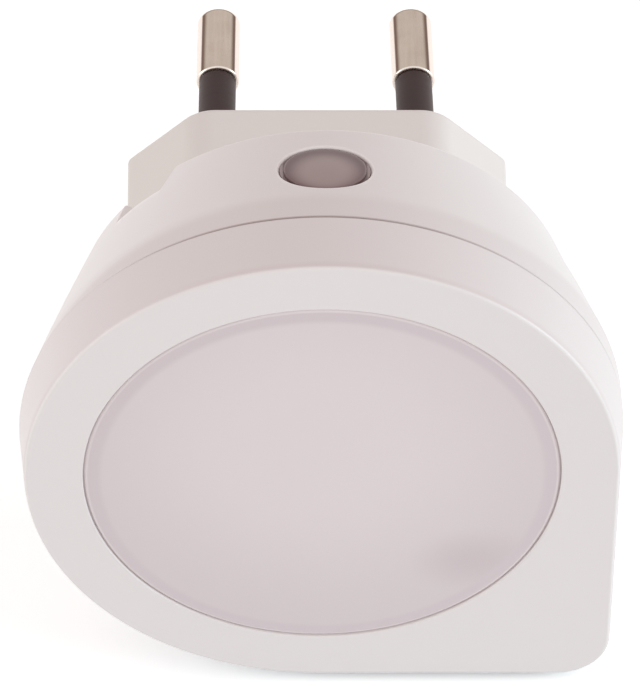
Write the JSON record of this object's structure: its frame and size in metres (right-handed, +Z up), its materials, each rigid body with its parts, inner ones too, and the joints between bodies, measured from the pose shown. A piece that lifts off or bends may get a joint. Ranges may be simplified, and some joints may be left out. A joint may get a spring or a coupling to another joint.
{
  "type": "plug-in night light",
  "caption": "Round night light with one square corner, an opal lens and a twilight sensor, on a six-sided two-pin plug block.",
  "frame": {"origin": "middle between the two pins in the plug face that meets the socket", "axes": "+Y out of the lamp along its pins, into the socket; +X to the right of someone facing the lamp; +Z up, towards the twilight sensor"},
  "size_m": [0.0536, 0.0602, 0.0536],
  "materials": {
    "cover_white": "satin-gloss white moulding",
    "housing_white": "satin white moulding with a faint pink cast",
    "lens_opal": "opal, glossy, slightly grey-pink when unlit",
    "block_white": "fine matte white, greyer than the housing",
    "pin_nickel": "bright nickel plate, warm",
    "sleeve_dark": "dark brown-black insulating sleeve",
    "window_smoke": "smoked translucent plastic, glossy",
    "carrier_grey": "grey insulating moulding",
    "retainer_cream": "cream moulding",
    "zinc_screw": "zinc-plated steel",
    "lead_brown": "brown wire insulation",
    "lead_blue": "blue wire insulation",
    "board_green": "green solder mask",
    "board_white": "white solder mask",
    "film_yellow": "yellow box capacitor",
    "sleeve_navy": "dark blue capacitor sleeve",
    "moulding_black": "black moulding compound",
    "resistor_green": "green flameproof coating",
    "resistor_tan": "tan resistor coating",
    "disc_blue": "blue varistor coating",
    "diode_glass": "orange glass diode body",
    "ldr_face": "photocell disc, orange face with a resistive track",
    "tray_white": "glossy white reflector",
    "led_yellow": "white LED package with a yellow phosphor top"
  },
  "bodies": {
    "root": {"front_cover": "cover_white", "diffuser_lens": "lens_opal", "rear_housing": "housing_white", "plug_block": "block_white", "plug_retainer": "retainer_cream", "retainer_screws": "zinc_screw", "pin_left": "pin_nickel", "pin_right": "pin_nickel", "sleeve_left": "sleeve_dark", "sleeve_right": "sleeve_dark", "pin_carrier": "carrier_grey", "live_lead": "lead_brown", "neutral_lead": "lead_blue", "driver_board": "board_green", "board_screws": "zinc_screw", "film_capacitor": "film_yellow", "smoothing_capacitor": "sleeve_navy", "bridge_rectifier": "moulding_black", "fusible_resistor": "resistor_green", "bleeder_resistor": "resistor_tan", "surge_absorber": "disc_blue", "switch_transistor": "moulding_black", "zener_diode": "diode_glass", "chip_resistors": "moulding_black", "light_sensor": "ldr_face", "sensor_holder": "moulding_black", "sensor_window": "window_smoke", "link_header": "moulding_black", "led_board": "board_white", "led_packages": "led_yellow", "reflector_tray": "tray_white", "tray_screws": "zinc_screw", "corner_screw": "zinc_screw"}
  },
  "joints": []
}
